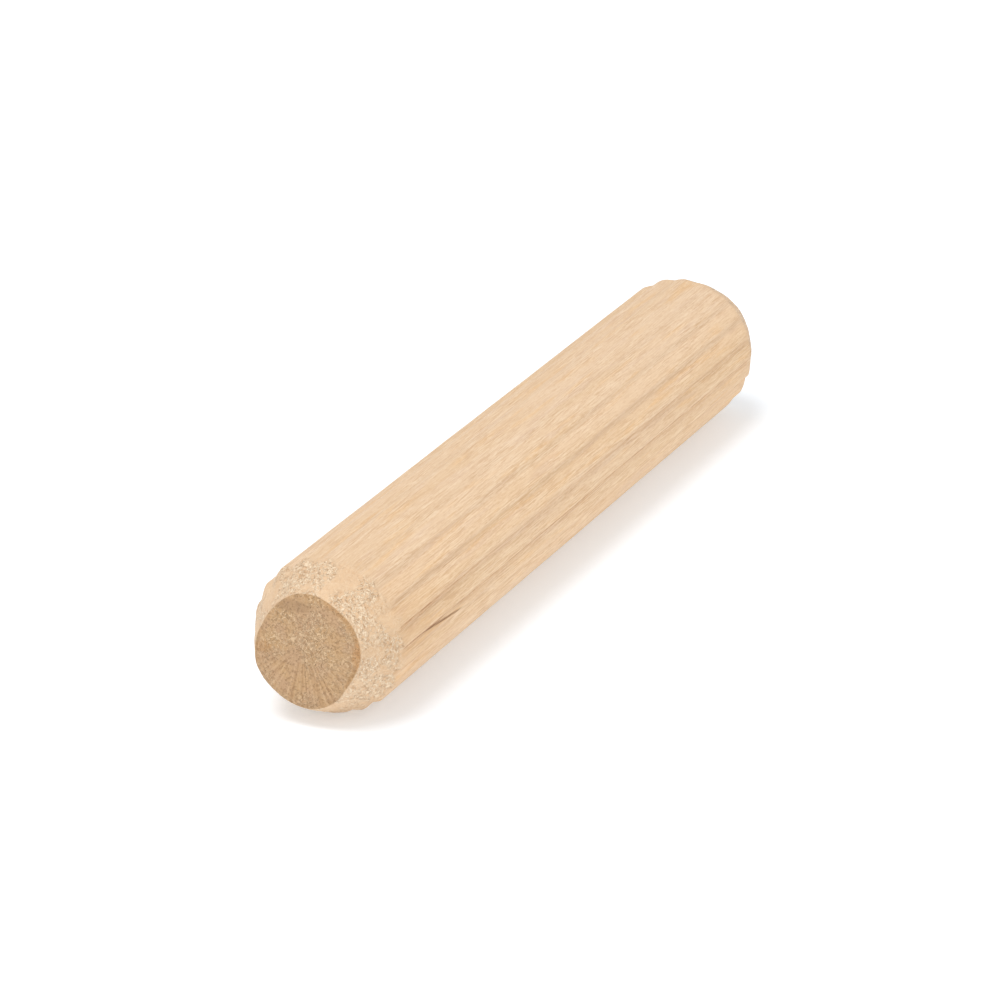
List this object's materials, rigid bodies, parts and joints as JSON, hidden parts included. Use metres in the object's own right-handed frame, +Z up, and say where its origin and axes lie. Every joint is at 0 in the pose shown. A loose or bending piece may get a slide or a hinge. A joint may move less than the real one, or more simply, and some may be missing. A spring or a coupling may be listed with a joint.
{
  "type": "dowel pin",
  "caption": "Straight fluted wooden dowel pin with a bevelled lead and a flat face at each end, for glued joints.",
  "frame": {"origin": "on the pin's axis, halfway along it", "axes": "+X along the pin, +Z up as it lies on two neighbouring ridges, +Y across"},
  "size_m": [0.05, 0.008, 0.008],
  "materials": {
    "raw_wood": "raw, dry, unsealed pale hardwood"
  },
  "bodies": {
    "root": {"dowel_pin": "raw_wood"}
  },
  "joints": []
}
